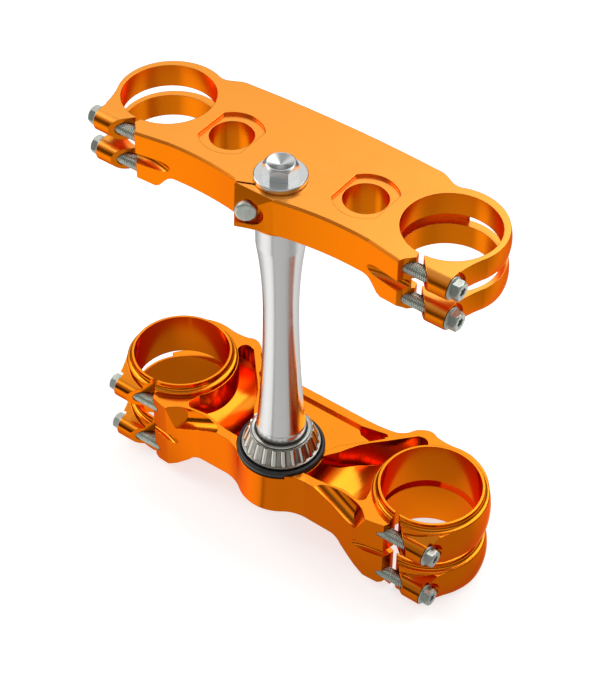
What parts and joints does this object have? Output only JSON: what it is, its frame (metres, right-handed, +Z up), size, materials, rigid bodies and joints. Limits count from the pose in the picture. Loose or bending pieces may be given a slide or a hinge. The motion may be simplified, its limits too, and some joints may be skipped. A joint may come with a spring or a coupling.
{
  "type": "motorcycle triple clamp",
  "caption": "Upper and lower fork clamps of a motorcycle on a hollow steering stem, with pinch screws, stem bolt and the lower tapered roller bearing.",
  "frame": {"origin": "on the steering axis, at the face of the lower clamp that the bearing sits on", "axes": "+Z up along the steering axis, X across the two forks, -Y towards the splits and pinch screws"},
  "size_m": [0.26, 0.0893, 0.2742],
  "materials": {
    "upper_anodised": "satin orange anodised",
    "lower_anodised": "bright orange anodised",
    "stem_metal": "fine turned",
    "bolt_metal": "bright turned",
    "screw_zinc": "grey zinc coating",
    "bearing_steel": "ground",
    "cage_steel": "pressed sheet",
    "roller_steel": "ground",
    "seal_rubber": "matt black"
  },
  "bodies": {
    "clamps": {"upper_clamp": "upper_anodised", "lower_clamp": "lower_anodised", "steering_stem": "stem_metal", "stem_bolt": "bolt_metal", "upper_pinch_screw_right_high": "screw_zinc", "upper_pinch_screw_right_low": "screw_zinc", "upper_pinch_screw_left_high": "screw_zinc", "upper_pinch_screw_left_low": "screw_zinc", "lower_pinch_screw_right_high": "screw_zinc", "lower_pinch_screw_right_low": "screw_zinc", "lower_pinch_screw_left_high": "screw_zinc", "lower_pinch_screw_left_low": "screw_zinc", "stem_pinch_screw": "screw_zinc", "bearing_inner_ring": "bearing_steel", "dust_seal": "seal_rubber"},
    "roller_set": {"bearing_cage": "cage_steel", "bearing_roller_01": "roller_steel", "bearing_roller_02": "roller_steel", "bearing_roller_03": "roller_steel", "bearing_roller_04": "roller_steel", "bearing_roller_05": "roller_steel", "bearing_roller_06": "roller_steel", "bearing_roller_07": "roller_steel", "bearing_roller_08": "roller_steel", "bearing_roller_09": "roller_steel", "bearing_roller_10": "roller_steel", "bearing_roller_11": "roller_steel", "bearing_roller_12": "roller_steel", "bearing_roller_13": "roller_steel", "bearing_roller_14": "roller_steel", "bearing_roller_15": "roller_steel", "bearing_roller_16": "roller_steel", "bearing_roller_17": "roller_steel", "bearing_roller_18": "roller_steel", "bearing_roller_19": "roller_steel", "bearing_roller_20": "roller_steel", "bearing_roller_21": "roller_steel", "bearing_roller_22": "roller_steel"}
  },
  "joints": [
    {"name": "bearing_turn", "type": "hinge", "parent": "clamps", "child": "roller_set", "pos_m": [0, 0, 0.0102], "axis": [0, 0, 1], "continuous": true}
  ]
}
